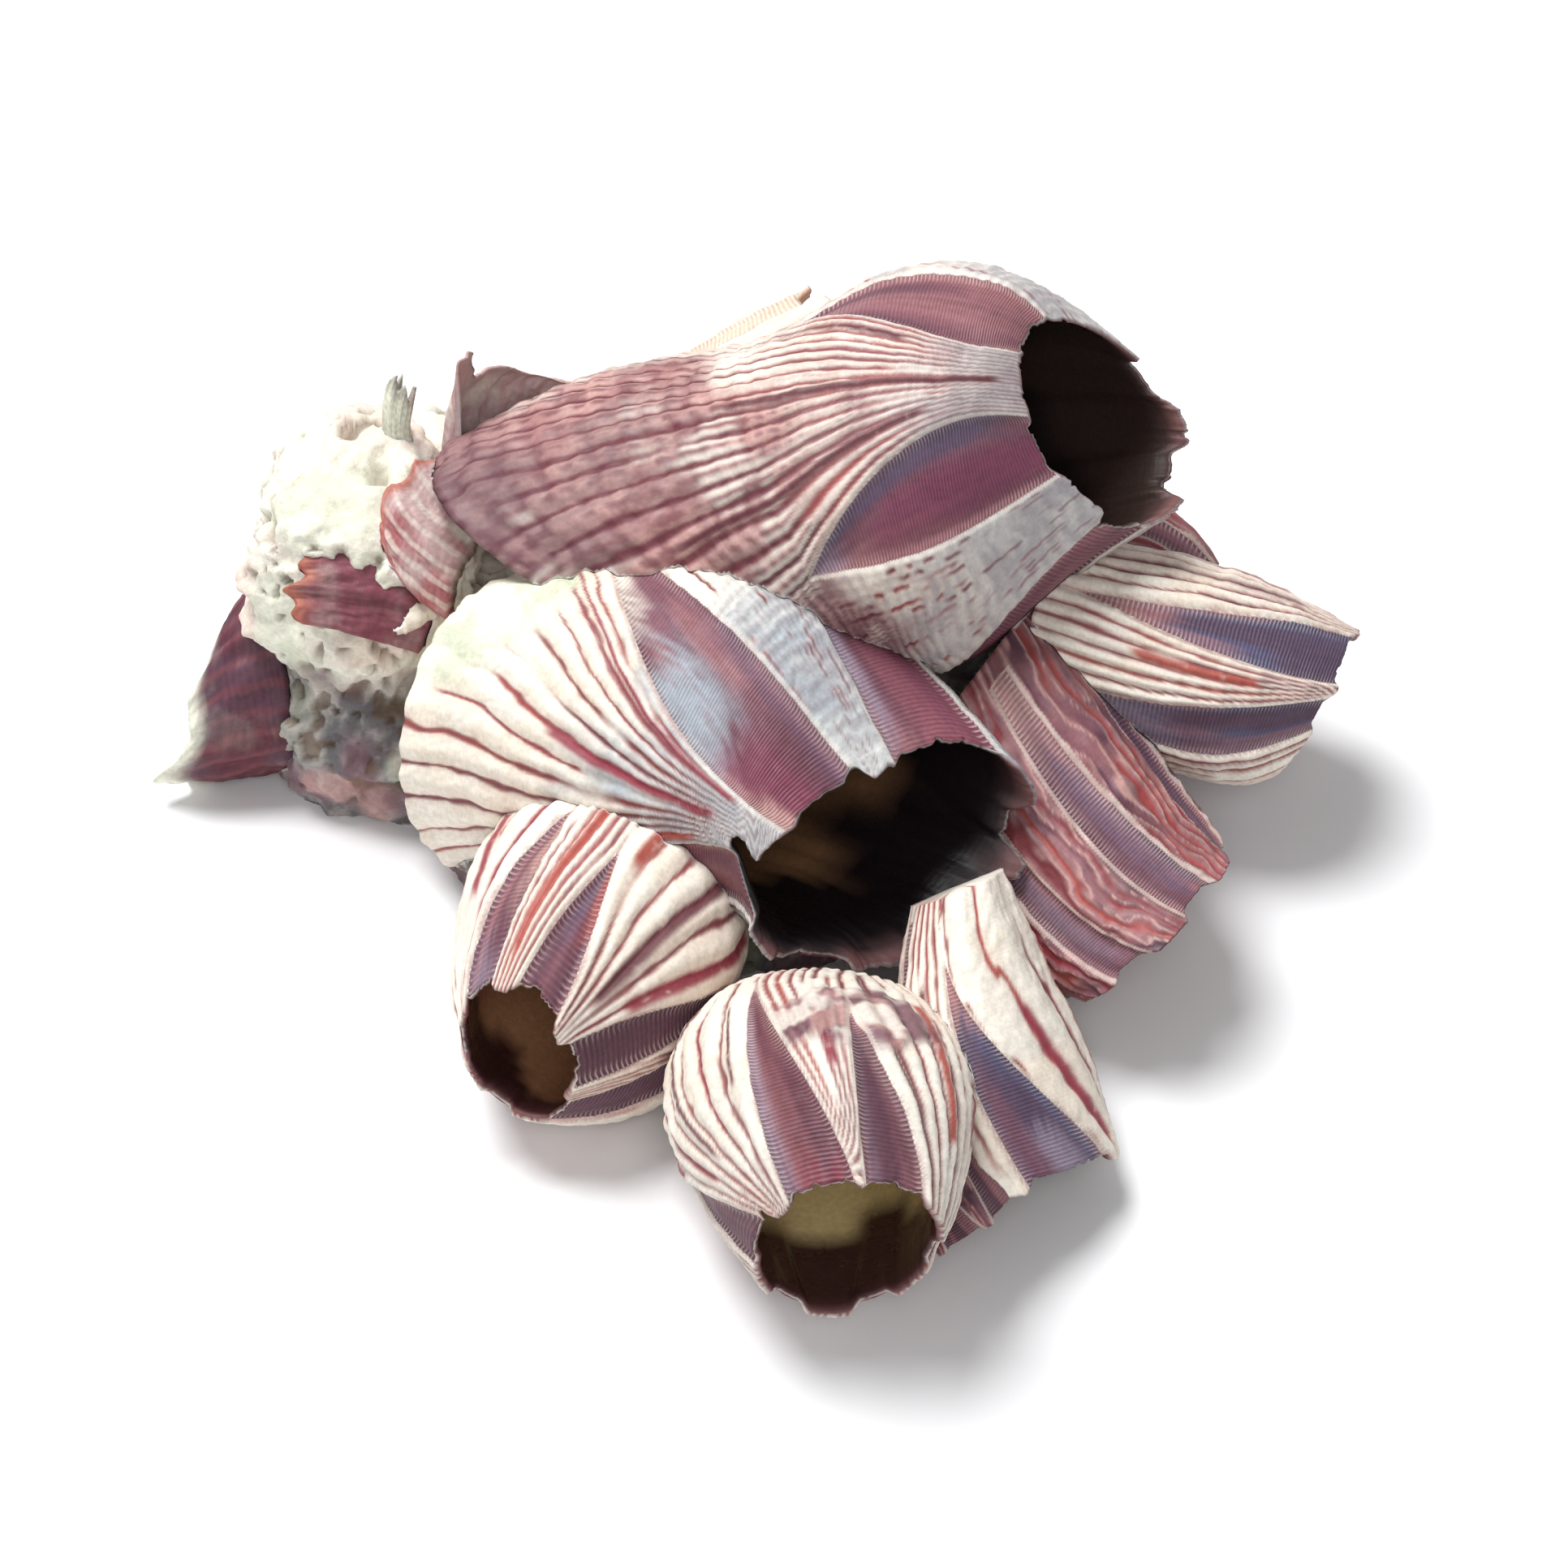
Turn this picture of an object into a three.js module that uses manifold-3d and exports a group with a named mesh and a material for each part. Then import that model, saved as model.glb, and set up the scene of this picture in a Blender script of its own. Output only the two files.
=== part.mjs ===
// A cluster of acorn barnacle shells grown on one another and on a lump of old shell growth.
// Millimetres, +Z up. The origin lies on the flat underside that the cluster rests on, -Y is its front.
import * as THREE from "three";
import { mergeVertices } from "three/addons/utils/BufferGeometryUtils.js";
import Module from "manifold-3d";

const wasm = await Module();
wasm.setup();

// Driving sizes.
const WALL = 2.2; // thickness of a shell's wall
const RIM = 1.1; // thickness of the wall at the mouth
const FLOOR = 0.14; // where the cavity's floor lies along a shell, as a share of its length
const GAP = 0.3; // clearance where one shell has grown against another
const OVER = 0.6; // how far the space kept clear around a shell stands past its ends
const SUNK = 0.07; // how deep the strips between the plates lie, as a share of the radius there
const SOFT_EDGE = 5; // degrees to each side of a border over which a plate's edge rolls down
const ROWS = 6; // rows of facets along the outside of a shell
const SHARD_COLUMNS = 8; // columns of facets along a broken piece
const SHARD_ROWS = 4; // rows of facets across a broken piece

// Colours of dry shell: cream plates with crimson lines, mauve strips, chalky old growth.
const CREAM = new THREE.MeshStandardMaterial({ color: 0xd9c3bf, roughness: 0.6, metalness: 0 });
const MAUVE = new THREE.MeshStandardMaterial({ color: 0x93606f, roughness: 0.55, metalness: 0 });
const CHALK = new THREE.MeshStandardMaterial({ color: 0xd8d3bf, roughness: 0.9, metalness: 0 });

// Six alike strips set evenly round a shell, widening towards its mouth.
function evenStrips(first, wideAtBase, wideAtMouth) {
  const low = (i) => first + 60 * i;
  return Array.from({ length: 6 }, (_, i) => [
    [low(i), low(i), low(i) - 8],
    [low(i) + wideAtBase, low(i) + wideAtBase + 3, low(i) - 8 + wideAtMouth],
  ]);
}

// Every shell is a cup through three ellipses: its base, its belly and its mouth. "at" is the centre,
// "top" and "near" are the half-axes. The plates are parted by sunken strips. A strip is its two borders,
// each as three angles in degrees, at the base, half way and at the mouth, turning from top towards near;
// it is missing where its second border comes before its first. "notch" is how far the mouth's edge dips
// at a strip, as a share of the length, and a dip is a deeper bite out of that edge: [angle, share of the
// length, degrees wide]. A bump is [angle, share of the length, height, degrees wide, share long].
const SHELLS = {
  shell_middle: {
    base: { at: [-33, 17, 19], top: [6, 13, 9], near: [-8, -6, 14] },
    belly: { at: [-9, 9, 27], top: [8, 12, 12], near: [-5, -11, 13] },
    mouth: { at: [12, -12, 25], top: [1, 6, 10], near: [-16, -9, 3] },
    strips: [
      [[-5, 50, 16], [-30, 87, 50]],
      [[190, 150, 72], [205, 175, 105]],
      [[240, 235, 130], [250, 250, 165]],
      [[270, 275, 200], [280, 285, 232]],
      [[295, 300, 255], [300, 305, 280]],
      [[0, -15, -46], [-60, 3, 2]],
    ],
    notch: 0.03,
    dips: [[95, 0.12, 16]],
    bumps: [[-35, 0.75, 2.5, 35, 0.3]],
    round: 26,
    seed: 1,
    material: CREAM,
  },
  shell_top: {
    base: { at: [-14, 30, 33], top: [-26, 8, 8], near: [-4, -16, 3] },
    belly: { at: [13, 36, 43], top: [-5, 15, 15], near: [-5, -17, 12] },
    mouth: { at: [36.5, 35, 49], top: [-3, 8, 8], near: [-10, -7, 8] },
    strips: [
      [[-50, 8, 25], [-110, 30, 58]],
      [[150, 95, 96], [85, 117, 129]],
      [[180, 168, 164], [190, 190, 198]],
      [[235, 235, 230], [240, 250, 262]],
      [[285, 280, 290], [290, 295, 315]],
    ],
    notch: 0.03,
    dips: [],
    bumps: [[175, 0.62, 6, 35, 0.25], [-10, 0.33, -5, 45, 0.17]],
    round: 26,
    seed: 2,
    material: CREAM,
  },
  shell_left: {
    base: { at: [-15, 0, 12], top: [1, 3, 11], near: [10, -5, 2] },
    belly: { at: [-21, -14, 15], top: [2, 6, 15], near: [14, -8, 1] },
    mouth: { at: [-29, -32, 17], top: [1, 1, 8], near: [6, -3, -2] },
    strips: [
      [[355, 343, 285], [330, 343, 328]],
      [[20, 15, -6], [25, 11, 36]],
      [[100, 88, 55], [80, 90, 94]],
      [[80, 97, 107], [100, 115, 142]],
      [[190, 195, 178], [200, 205, 205]],
      [[235, 240, 232], [245, 250, 262]],
    ],
    notch: 0.03,
    dips: [],
    bumps: [[140, 0.6, 2.5, 40, 0.3]],
    round: 24,
    seed: 3,
    material: CREAM,
  },
  shell_front: {
    base: { at: [4, -22, 13], top: [0, -2, 9], near: [11, 0, 0] },
    belly: { at: [4, -39, 16], top: [0, -2, 16], near: [16, 0, 0] },
    mouth: { at: [6.5, -59, 17], top: [0, 0, 10], near: [10, 0, 2] },
    strips: [
      [[334, 328, 325], [325, 342, 366]],
      [[14, 10, 11], [10, 13, 52]],
      [[75, 85, 95], [85, 95, 120]],
      [[140, 145, 150], [150, 155, 175]],
      [[195, 200, 205], [205, 210, 232]],
      [[240, 240, 268], [265, 240, 310]],
    ],
    notch: 0.03,
    dips: [],
    bumps: [],
    round: 24,
    seed: 4,
    material: CREAM,
  },
  shell_front_right: {
    base: { at: [19, -9, 19], top: [5, 4, -1], near: [1, -6.5, 6.5] },
    belly: { at: [22, -25, 12], top: [9, 5, -1], near: [0, -8, 8] },
    mouth: { at: [27, -40, 7], top: [9, 4, -2], near: [0, -7, 5] },
    strips: [
      [[132, 89, 22], [121, 111, 95]],
      [[165, 165, 150], [175, 178, 185]],
      [[220, 222, 215], [230, 235, 245]],
      [[280, 282, 278], [290, 295, 310]],
    ],
    notch: 0.04,
    dips: [],
    bumps: [],
    round: 20,
    seed: 5,
    material: CREAM,
  },
  shell_right_low: {
    base: { at: [21, 21, 20], top: [8, 7, 8], near: [-1.5, -8.5, 7] },
    belly: { at: [33.5, 3.5, 12.5], top: [9, 7, 7], near: [-2.5, -9.5, 8] },
    mouth: { at: [41, -8.5, 12], top: [9, 6, 6], near: [1, -9, 7.2] },
    strips: [
      [[10, 0, -15], [20, 20, 15]],
      [[60, 55, 45], [70, 75, 72]],
      [[110, 108, 100], [122, 125, 122]],
      [[165, 165, 160], [175, 178, 185]],
      [[225, 225, 220], [235, 240, 250]],
      [[290, 290, 285], [300, 305, 315]],
    ],
    notch: 0.05,
    dips: [],
    bumps: [],
    round: 22,
    seed: 6,
    material: MAUVE,
  },
  shell_right_high: {
    base: { at: [30, 30, 22.5], top: [2, 7, 7], near: [-2, -9, 8] },
    belly: { at: [50, 26, 18], top: [3, 8, 8], near: [-2, -11, 9] },
    mouth: { at: [62, 24, 16], top: [5, 6, 6], near: [0, -8, 6] },
    strips: [
      [[62, 44, 25], [55, 71, 71]],
      [[122, 104, 81], [134, 134, 105]],
      [[175, 175, 160], [185, 190, 185]],
      [[225, 228, 225], [235, 240, 250]],
      [[285, 290, 290], [295, 300, 320]],
      [[340, 345, 350], [350, 352, 368]],
    ],
    notch: 0.04,
    dips: [],
    bumps: [],
    round: 22,
    seed: 7,
    material: CREAM,
  },
  shell_far_right: {
    base: { at: [35, 44, 16], top: [1, 5, 5], near: [-1, -8, 6] },
    belly: { at: [42, 45, 17], top: [2, 6, 6], near: [-1, -9, 7] },
    mouth: { at: [49, 42, 15], top: [3, 3, 3], near: [-1, -5, 4] },
    strips: evenStrips(30, 20, 38),
    notch: 0.04,
    dips: [],
    bumps: [],
    round: 14,
    seed: 8,
    material: MAUVE,
  },
  shell_back: {
    base: { at: [-16, 48, 24], top: [-5, 6, 8], near: [-6, -9, 5] },
    belly: { at: [-4, 54, 32], top: [-7, 6, 8], near: [-6, -9, 5] },
    mouth: { at: [8, 61, 39], top: [-5, 6, 3], near: [-0.5, -2.8, 6] },
    strips: evenStrips(30, 12, 34),
    notch: 0.06,
    dips: [],
    bumps: [],
    round: 16,
    seed: 9,
    material: CREAM,
  },
  shell_low_front: {
    base: { at: [14, -35, 8], top: [3, 2, 5], near: [1, -6, 6] },
    belly: { at: [17, -42, 9], top: [4, 4, 2], near: [1, -7, 6] },
    mouth: { at: [20, -48, 9], top: [5, 4, 1], near: [1, -5, 4] },
    strips: evenStrips(40, 26, 46),
    notch: 0.05,
    dips: [],
    bumps: [],
    round: 14,
    seed: 10,
    material: MAUVE,
  },
};

// What is left of broken shells: a stretch of wall between two angles, with a torn rim.
const SHARDS = {
  broken_shell_high: {
    base: { at: [-27, 43, 29], top: [-2, 7, 4], near: [-10, -3, 2] },
    belly: { at: [-29, 45, 36], top: [-2, 7, 4], near: [-10, -4, 2] },
    mouth: { at: [-30, 48, 47], top: [3, 4, -6], near: [-6, -2.5, 6] },
    span: [-60, 105],
    torn: 0.08,
    seed: 21,
    material: CREAM,
  },
  broken_shell_low: {
    base: { at: [-56, 33, 13], top: [-2, 5, 10], near: [-2, -8, 3.5] },
    belly: { at: [-62, 31.5, 12], top: [-1, 5, 10], near: [-2, -8, 3.5] },
    mouth: { at: [-71, 29, 7], top: [4, 3, 7], near: [-2, -6, 2.5] },
    span: [-60, 200],
    torn: 0.1,
    seed: 22,
    material: MAUVE,
  },
  broken_rim_middle: {
    base: { at: [-38, 31, 24], top: [4, 8, 6], near: [-2, -7, 6] },
    belly: { at: [-46, 30, 27], top: [2, 8, 6], near: [-2, -7, 7] },
    mouth: { at: [-55, 29, 29], top: [0, 6, 5], near: [-2, -6, 6] },
    span: [45, 120],
    torn: 0.08,
    seed: 23,
    material: MAUVE,
  },
  broken_rim_upper: {
    base: { at: [-34, 32, 28], top: [2, 6, 5], near: [-4, -7, 5] },
    belly: { at: [-38, 33, 33], top: [2, 6, 5], near: [-5, -7, 5] },
    mouth: { at: [-41, 35, 37], top: [2, 5, 4], near: [-5, -5, 4] },
    span: [0, 125],
    torn: 0.1,
    seed: 24,
    material: MAUVE,
  },
  broken_spur: {
    base: { at: [-43.5, 41, 37], top: [-2.1, 0, 0], near: [0, -2, 0] },
    belly: { at: [-44.3, 41.5, 43.5], top: [-1.8, 0, 0], near: [0, -1.6, 0] },
    mouth: { at: [-42.8, 42.5, 50], top: [-1.9, 0, 0], near: [0, -1.6, 0] },
    span: [-80, 150],
    torn: 0.1,
    seed: 25,
    material: CREAM,
  },
};

// The old growth under and beside the shells, as overlapping blunt lumps: middle and half-sizes.
const LUMPS = [
  { at: [-49, 37, 22], size: [13, 16, 20] },
  { at: [-38, 49, 30], size: [8, 7, 8] },
  { at: [-46, 27, 8], size: [14, 9, 11] },
  { at: [-24, 40, 12], size: [22, 15, 16] },
  { at: [-8, 20, 6], size: [34, 25, 13] },
  { at: [6, 42, 12], size: [30, 14, 16] },
];
const BLUNT = 3; // 2 makes a lump round, larger makes it boxier

// A point of the curve through three values at 0, 1/2 and 1.
function through(a, b, c, t) {
  const first = 2 * (t - 0.5) * (t - 1);
  const middle = 4 * t * (1 - t);
  const last = 2 * t * (t - 0.5);
  return a.clone().multiplyScalar(first).addScaledVector(b, middle).addScaledVector(c, last);
}

// The turn from one angle to another in degrees, -180 to 180.
function turn(from, to) {
  return THREE.MathUtils.euclideanModulo(to - from + 180, 360) - 180;
}

// The curve through three numbers at 0, 1/2 and 1.
function throughNumbers([a, b, c], t) {
  return 2 * (t - 0.5) * (t - 1) * a + 4 * t * (1 - t) * b + 2 * t * (t - 0.5) * c;
}

// How far a point lies into a sunken strip: 0 on a plate, 1 in a strip.
function strip(shell, angle, along) {
  const depths = shell.strips.map(([low, high]) => {
    const from = throughNumbers(low, along);
    const to = throughNumbers(high, along);
    const inside = (to - from) / 2 - Math.abs(turn((from + to) / 2, angle));
    return THREE.MathUtils.smoothstep(inside, -SOFT_EDGE, SOFT_EDGE);
  });
  return Math.max(...depths);
}

// A slow unevenness of the wall, as a share of the radius.
function unevenness(shell, angle, along) {
  const s = shell.seed;
  const a = THREE.MathUtils.degToRad(angle);
  return 0.03 * Math.sin(2 * a + 4 * along + s) + 0.02 * Math.sin(3 * a - 5 * along + 2.3 * s);
}

function bumpHeight(shell, angle, along) {
  return shell.bumps.reduce((sum, [at, where, height, wide, long]) => {
    const far = (turn(at, angle) / wide) ** 2 + ((along - where) / long) ** 2;
    return sum + height * Math.exp(-far);
  }, 0);
}

// The point of a shell's three-ellipse form, moved out along its radius.
function formPoint(shell, angle, along, scale, out) {
  const vector = (key) => through(
    new THREE.Vector3(...shell.base[key]),
    new THREE.Vector3(...shell.belly[key]),
    new THREE.Vector3(...shell.mouth[key]),
    along,
  );
  const a = THREE.MathUtils.degToRad(angle);
  const offset = vector("top").multiplyScalar(Math.cos(a)).addScaledVector(vector("near"), Math.sin(a));
  const radius = offset.length();
  offset.setLength(Math.max(radius * scale + out, 0.1 * radius));
  return vector("at").add(offset);
}

// How deep the dips bite out of the mouth's edge, as a share of the length.
function bite(shell, angle) {
  return shell.dips.reduce((sum, [at, share, wide]) => {
    return sum + share * Math.exp(-((turn(at, angle) / wide) ** 2));
  }, 0);
}

// A point of a shell's wall, "inset" millimetres inside its outer face.
function wallPoint(shell, angle, along, inset) {
  const t = along * (1 - shell.notch * strip(shell, angle, 1) - bite(shell, angle));
  const scale = 1 + unevenness(shell, angle, t) - SUNK * strip(shell, angle, t) * (0.3 + 0.7 * t);
  return formPoint(shell, angle, t, scale, bumpHeight(shell, angle, t) - inset);
}

// A closed surface over rows of points, each a ring, with a fan to the middle of the first and of the last.
function closedRings(rings) {
  const count = rings[0].length;
  const middleOf = (ring) => ring.reduce((sum, p) => sum.add(p), new THREE.Vector3()).divideScalar(count);
  const points = [...rings.flat(), middleOf(rings[0]), middleOf(rings.at(-1))];
  const first = points.length - 2;
  const last = points.length - 1;
  const faces = [];
  for (let row = 0; row < rings.length - 1; row++) {
    for (let i = 0; i < count; i++) {
      const a = row * count + i;
      const b = row * count + ((i + 1) % count);
      faces.push(a, b, b + count, a, b + count, a + count);
    }
  }
  const top = (rings.length - 1) * count;
  for (let i = 0; i < count; i++) {
    faces.push(first, (i + 1) % count, i, last, top + i, top + ((i + 1) % count));
  }
  return new THREE.BufferGeometry().setFromPoints(points).setIndex(faces);
}

// The solid inside a closed geometry, whichever way its faces turn.
function solid(geometry) {
  const bare = geometry.clone();
  bare.deleteAttribute("normal");
  bare.deleteAttribute("uv");
  const merged = mergeVertices(bare, 1e-4);
  const corners = new Uint32Array(merged.index.array);
  const vertProperties = merged.attributes.position.array;
  const build = (triVerts) => new wasm.Manifold(new wasm.Mesh({ numProp: 3, vertProperties, triVerts }));
  const made = build(corners);
  return made.volume() > 0 ? made : build(corners.reverse());
}

// The geometry of a solid's largest piece.
function geometryOf(manifold) {
  const pieces = manifold.decompose().sort((a, b) => b.volume() - a.volume());
  const mesh = pieces[0].getMesh();
  return new THREE.BufferGeometry()
    .setAttribute("position", new THREE.BufferAttribute(mesh.vertProperties, 3))
    .setIndex(new THREE.BufferAttribute(mesh.triVerts, 1));
}

function ringAt(shell, along, inset) {
  const angles = Array.from({ length: shell.round }, (_, i) => (i / shell.round) * 360);
  return angles.map((angle) => wallPoint(shell, angle, along, inset));
}

// A shell as an open cup.
function cup(shell) {
  const outside = Array.from({ length: ROWS }, (_, i) => ringAt(shell, i / (ROWS - 1), 0));
  const inside = [
    ringAt(shell, 1, RIM),
    ringAt(shell, 0.75, WALL),
    ringAt(shell, 0.45, WALL),
    ringAt(shell, FLOOR, WALL + 1),
  ];
  return solid(closedRings([...outside, ...inside]));
}

// The ring at one end of a shell, grown by the gap and moved away from the shell.
function ringPast(shell, end, along) {
  const outward = new THREE.Vector3(...end.top).cross(new THREE.Vector3(...end.near)).normalize();
  const away = new THREE.Vector3(...end.at).sub(new THREE.Vector3(...shell.belly.at));
  const reach = outward.dot(away) > 0 ? OVER : -OVER;
  return ringAt(shell, along, -GAP).map((point) => point.addScaledVector(outward, reach));
}

// The whole space that a shell takes up, cavity included, grown by the gap kept around it.
function envelope(shell) {
  const rings = Array.from({ length: ROWS }, (_, i) => ringAt(shell, i / (ROWS - 1), -GAP));
  return solid(closedRings([ringPast(shell, shell.base, 0), ...rings, ringPast(shell, shell.mouth, 1)]));
}

// A broken stretch of wall. At each angle its cross-section is a closed loop, up the outside and down
// the inside.
function shard(piece, grown) {
  const loops = Array.from({ length: SHARD_COLUMNS }, (_, i) => {
    const share = i / (SHARD_COLUMNS - 1);
    const angle = THREE.MathUtils.lerp(piece.span[0] - 8 * grown, piece.span[1] + 8 * grown, share);
    const tear = Math.sin(9.1 * share + piece.seed) + Math.sin(23 * share + 2 * piece.seed);
    const length = 1 - piece.torn * (1 + 0.5 * tear) - 0.3 * piece.torn * Math.abs(2 * share - 1);
    const side = (inset) => Array.from({ length: SHARD_ROWS }, (_, j) => {
      const along = THREE.MathUtils.lerp(-0.1 * grown, length + 0.1 * grown, j / (SHARD_ROWS - 1));
      return formPoint(piece, angle, along, 1, -inset);
    });
    return [...side(-grown), ...side(WALL * 0.9 + grown).reverse()];
  });
  return solid(closedRings(loops));
}

// One lump of old growth.
function lump({ at, size }) {
  const ball = new THREE.SphereGeometry(1, 13, 8);
  const position = ball.attributes.position;
  const point = new THREE.Vector3();
  for (let i = 0; i < position.count; i++) {
    point.fromBufferAttribute(position, i);
    const powers = point.toArray().map((value) => Math.abs(value) ** BLUNT);
    const blunt = powers.reduce((sum, power) => sum + power) ** (-1 / BLUNT);
    const around = 0.06 * Math.sin(4 * point.x + at[0]) * Math.sin(4 * point.y + at[1]);
    const swell = 1 + around + 0.04 * Math.sin(7 * point.z);
    point.multiplyScalar(blunt * swell).multiply(new THREE.Vector3(...size)).add(new THREE.Vector3(...at));
    position.setXYZ(i, point.x, point.y, point.z);
  }
  return solid(ball);
}

const underFloor = solid(new THREE.BoxGeometry(400, 400, 100).translate(0, 0, -50));

const cluster = new THREE.Group();
let taken = underFloor;
function place(name, made, room, material) {
  const mesh = new THREE.Mesh(geometryOf(made.subtract(taken)), material);
  mesh.name = name;
  cluster.add(mesh);
  taken = taken.add(room).add(made);
}
for (const [name, shell] of Object.entries(SHELLS)) {
  place(name, cup(shell), envelope(shell), shell.material);
}
for (const [name, piece] of Object.entries(SHARDS)) {
  place(name, shard(piece, 0), shard(piece, GAP), piece.material);
}
const growth = LUMPS.map(lump).reduce((all, one) => all.add(one));
place("old_growth", growth, growth, CHALK);

export default cluster;
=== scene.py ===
"""A dry barnacle cluster: ten striped shells and some broken walls, grown on a lump of chalky old growth.
Sizes in the tables are millimetres, angles degrees; shares run from a shell's base (0) to its mouth (1)."""

import math

import bmesh
import bpy
import numpy as np
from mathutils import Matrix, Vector


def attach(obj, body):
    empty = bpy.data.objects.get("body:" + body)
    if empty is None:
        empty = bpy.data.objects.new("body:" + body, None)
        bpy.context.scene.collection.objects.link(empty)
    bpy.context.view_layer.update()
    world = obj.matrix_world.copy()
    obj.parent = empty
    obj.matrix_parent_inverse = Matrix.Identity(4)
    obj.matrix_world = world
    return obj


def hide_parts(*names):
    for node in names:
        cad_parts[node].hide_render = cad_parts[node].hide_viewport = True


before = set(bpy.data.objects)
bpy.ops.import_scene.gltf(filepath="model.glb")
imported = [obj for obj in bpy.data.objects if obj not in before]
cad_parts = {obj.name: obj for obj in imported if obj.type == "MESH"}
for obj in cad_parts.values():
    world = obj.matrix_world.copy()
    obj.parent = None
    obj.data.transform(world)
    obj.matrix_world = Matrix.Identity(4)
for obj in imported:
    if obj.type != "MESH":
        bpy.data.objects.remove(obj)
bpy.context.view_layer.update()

MM = 0.001
GAP = 0.12  # clearance kept where one shell has grown against another
WALL = 2.2  # a shell wall's thickness
RIM = 0.9  # the wall's thickness at the mouth
FLOOR = 0.14  # where the cavity's floor lies along a shell
SUNK = 0.07  # how deep the strips between the plates lie, as a share of the radius
STRIATION = 0.5  # spacing of the fine cross lines in the strips
BOLD_LOOK = 0.7  # the share at which a plate's width says how many bold lines it has
BOLD_START, BOLD_END = (0.08, 0.45), (0.6, 0.95)  # the shares between which a bold line starts, and ends


def linear(code):
    """A colour written as #RRGGBB, as linear light."""
    parts = np.array([int(code[i : i + 2], 16) / 255 for i in (1, 3, 5)])
    return np.where(parts <= 0.04045, parts / 12.92, ((parts + 0.055) / 1.055) ** 2.4)


CREAM = linear("#F0E9DC")
WARM = linear("#E9D6C0")
CRIMSON = linear("#8E2E40")
BRICK = linear("#AA4A3E")
MAROON = linear("#5C2632")
MAUVE = linear("#7C505C")
PLUM = linear("#583846")
INDIGO = linear("#56526E")
LILAC = linear("#978A9C")
ROSE = linear("#A87474")
PINK = linear("#D8ABA2")
WASH = linear("#A6B2BC")
SHADE = linear("#66606A")
CHALK = linear("#EEEEDC")
SAGE = linear("#D0D4BC")
# TAN and STRAW line the deeper cavity and are lighter than the lining's own colour: painted light standing in
# for light that shines through the thin wall.
TAN = linear("#D09A72")
STRAW = linear("#F0DCA8")
SHEATH = linear("#4A2A2C")
BLACK = linear("#1C1619")
OLIVE = linear("#866246")
WINE = linear("#8C4058")
GRAPE = linear("#84405C")
GARNET = linear("#74323E")
SOOT = linear("#3A2C28")
VEIL = linear("#98929A")
SLATE = linear("#6C6A6C")
ASH = linear("#A39C9A")
DUSK = linear("#7A5460")
UMBER = linear("#8A6A50")

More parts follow.
